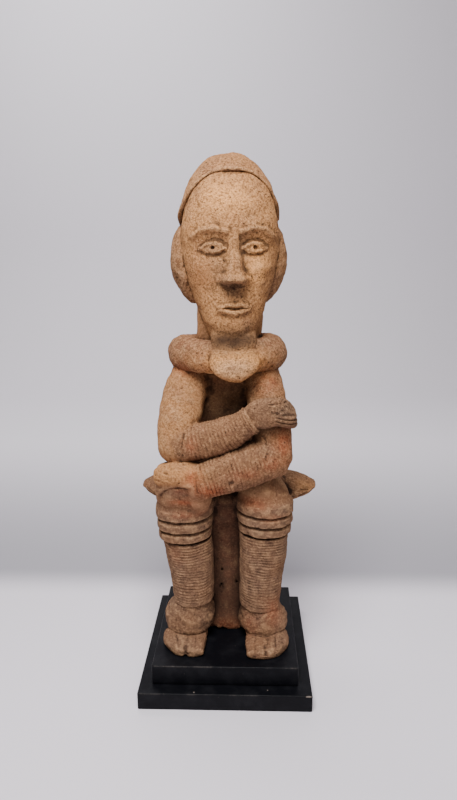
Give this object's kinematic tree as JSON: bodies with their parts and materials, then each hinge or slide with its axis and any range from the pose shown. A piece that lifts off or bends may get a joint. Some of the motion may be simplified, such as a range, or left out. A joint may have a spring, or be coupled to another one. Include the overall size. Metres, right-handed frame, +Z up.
{
  "type": "seated terracotta figure on a stepped base",
  "caption": "Seated terracotta figure with crossed arms, a cap, a beard and ribbed shin sleeves, on a stool and a stepped black base.",
  "frame": {"origin": "middle of the lower board's underside, on the surface that the base stands on", "axes": "+Z up, the figure looks along -Y, and its own right side is towards -X"},
  "size_m": [0.208, 0.19, 0.5826],
  "materials": {
    "terracotta": "unglazed, gritty and pitted, with grey-brown dirt in the hollows",
    "black_paint": "wood or fibreboard under satin black paint"
  },
  "bodies": {
    "root": {"terracotta_figure": "terracotta", "base_upper_board": "black_paint", "base_lower_board": "black_paint"}
  },
  "joints": []
}
